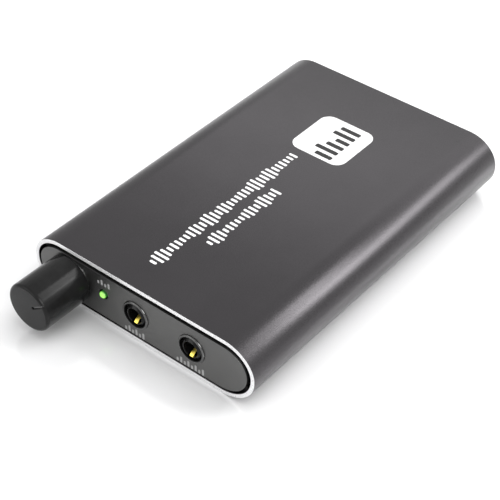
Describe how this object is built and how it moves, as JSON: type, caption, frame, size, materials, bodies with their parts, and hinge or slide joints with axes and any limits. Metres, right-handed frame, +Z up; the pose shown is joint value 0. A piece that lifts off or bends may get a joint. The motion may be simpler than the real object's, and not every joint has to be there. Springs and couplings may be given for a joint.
{
  "type": "headphone amplifier",
  "caption": "Flat pocket headphone amplifier in a rounded aluminium sleeve, with a turning volume knob, power light, two 3.5 mm jacks, and a charging port and gain switch behind.",
  "frame": {"origin": "middle of the case's flat underside, which is the surface it rests on", "axes": "+X across the front panel towards the jacks, +Y from the front panel to the rear panel, +Z up"},
  "size_m": [0.06, 0.103, 0.015],
  "materials": {
    "anodised_case": "bead-blasted dark grey anodised extrusion with brightly cut end faces",
    "anodised_panel": "bead-blasted mid grey anodised plate with white line markings",
    "black_knob": "satin black",
    "black_plastic": "moulded black",
    "green_lens": "diffused green, lit",
    "clear_lens": "clear moulded",
    "gold_contact": "gold-plated spring metal",
    "bright_metal": "tinned steel",
    "green_board": "green solder mask",
    "battery_foil": "satin laminate foil",
    "grey_foam": "closed-cell foam",
    "red_insulation": "satin insulation",
    "black_insulation": "satin insulation",
    "white_nylon": "natural moulded nylon",
    "ferrite": "sintered, matt",
    "screw_steel": "black-coated steel"
  },
  "bodies": {
    "case": {"case_sleeve": "anodised_case", "front_panel": "anodised_panel", "rear_panel": "anodised_panel", "volume_pot_body": "black_plastic", "volume_terminal_strip": "black_plastic", "power_led_holder": "black_plastic", "input_jack_housing": "black_plastic", "output_jack_housing": "black_plastic", "headphone_driver_chip": "black_plastic", "gain_stage_chip": "black_plastic", "battery_charger_chip": "black_plastic", "voltage_converter_chip": "black_plastic", "charge_socket_tongue": "black_plastic", "power_led_lens": "green_lens", "charge_led_chip": "clear_lens", "charge_light_pipe": "clear_lens", "input_jack_tip_contact": "gold_contact", "input_jack_ring_contact": "gold_contact", "input_jack_sleeve_contact": "gold_contact", "output_jack_tip_contact": "gold_contact", "output_jack_ring_contact": "gold_contact", "output_jack_sleeve_contact": "gold_contact", "volume_pot_front": "bright_metal", "power_switch_body": "bright_metal", "volume_pot_washer": "bright_metal", "volume_pot_nut": "bright_metal", "power_led_leg_left": "bright_metal", "power_led_leg_right": "bright_metal", "filter_capacitor_1": "bright_metal", "filter_capacitor_2": "bright_metal", "filter_capacitor_3": "bright_metal", "filter_capacitor_4": "bright_metal", "charge_socket_shell": "bright_metal", "gain_switch_body": "bright_metal", "main_board": "green_board", "battery_protection_board": "green_board", "battery_pouch": "battery_foil", "battery_foam_pad": "grey_foam", "battery_lead_red": "red_insulation", "battery_lead_black": "black_insulation", "battery_header": "white_nylon", "battery_plug": "white_nylon", "power_inductor": "ferrite", "rear_screw_left": "screw_steel", "rear_screw_right": "screw_steel"},
    "volume": {"volume_knob": "black_knob", "volume_shaft": "bright_metal", "volume_wiper": "gold_contact"},
    "gain_slider": {"gain_switch_slider": "black_plastic"}
  },
  "joints": [
    {"name": "volume_turn", "type": "hinge", "parent": "case", "child": "volume", "pos_m": [-0.0192, -0.05, 0.00765], "axis": [0, 1, 0], "range_deg": [-210, 90]},
    {"name": "gain_slide", "type": "slide", "parent": "case", "child": "gain_slider", "axis": [1, 0, 0], "range_m": [0, 0.002]}
  ]
}
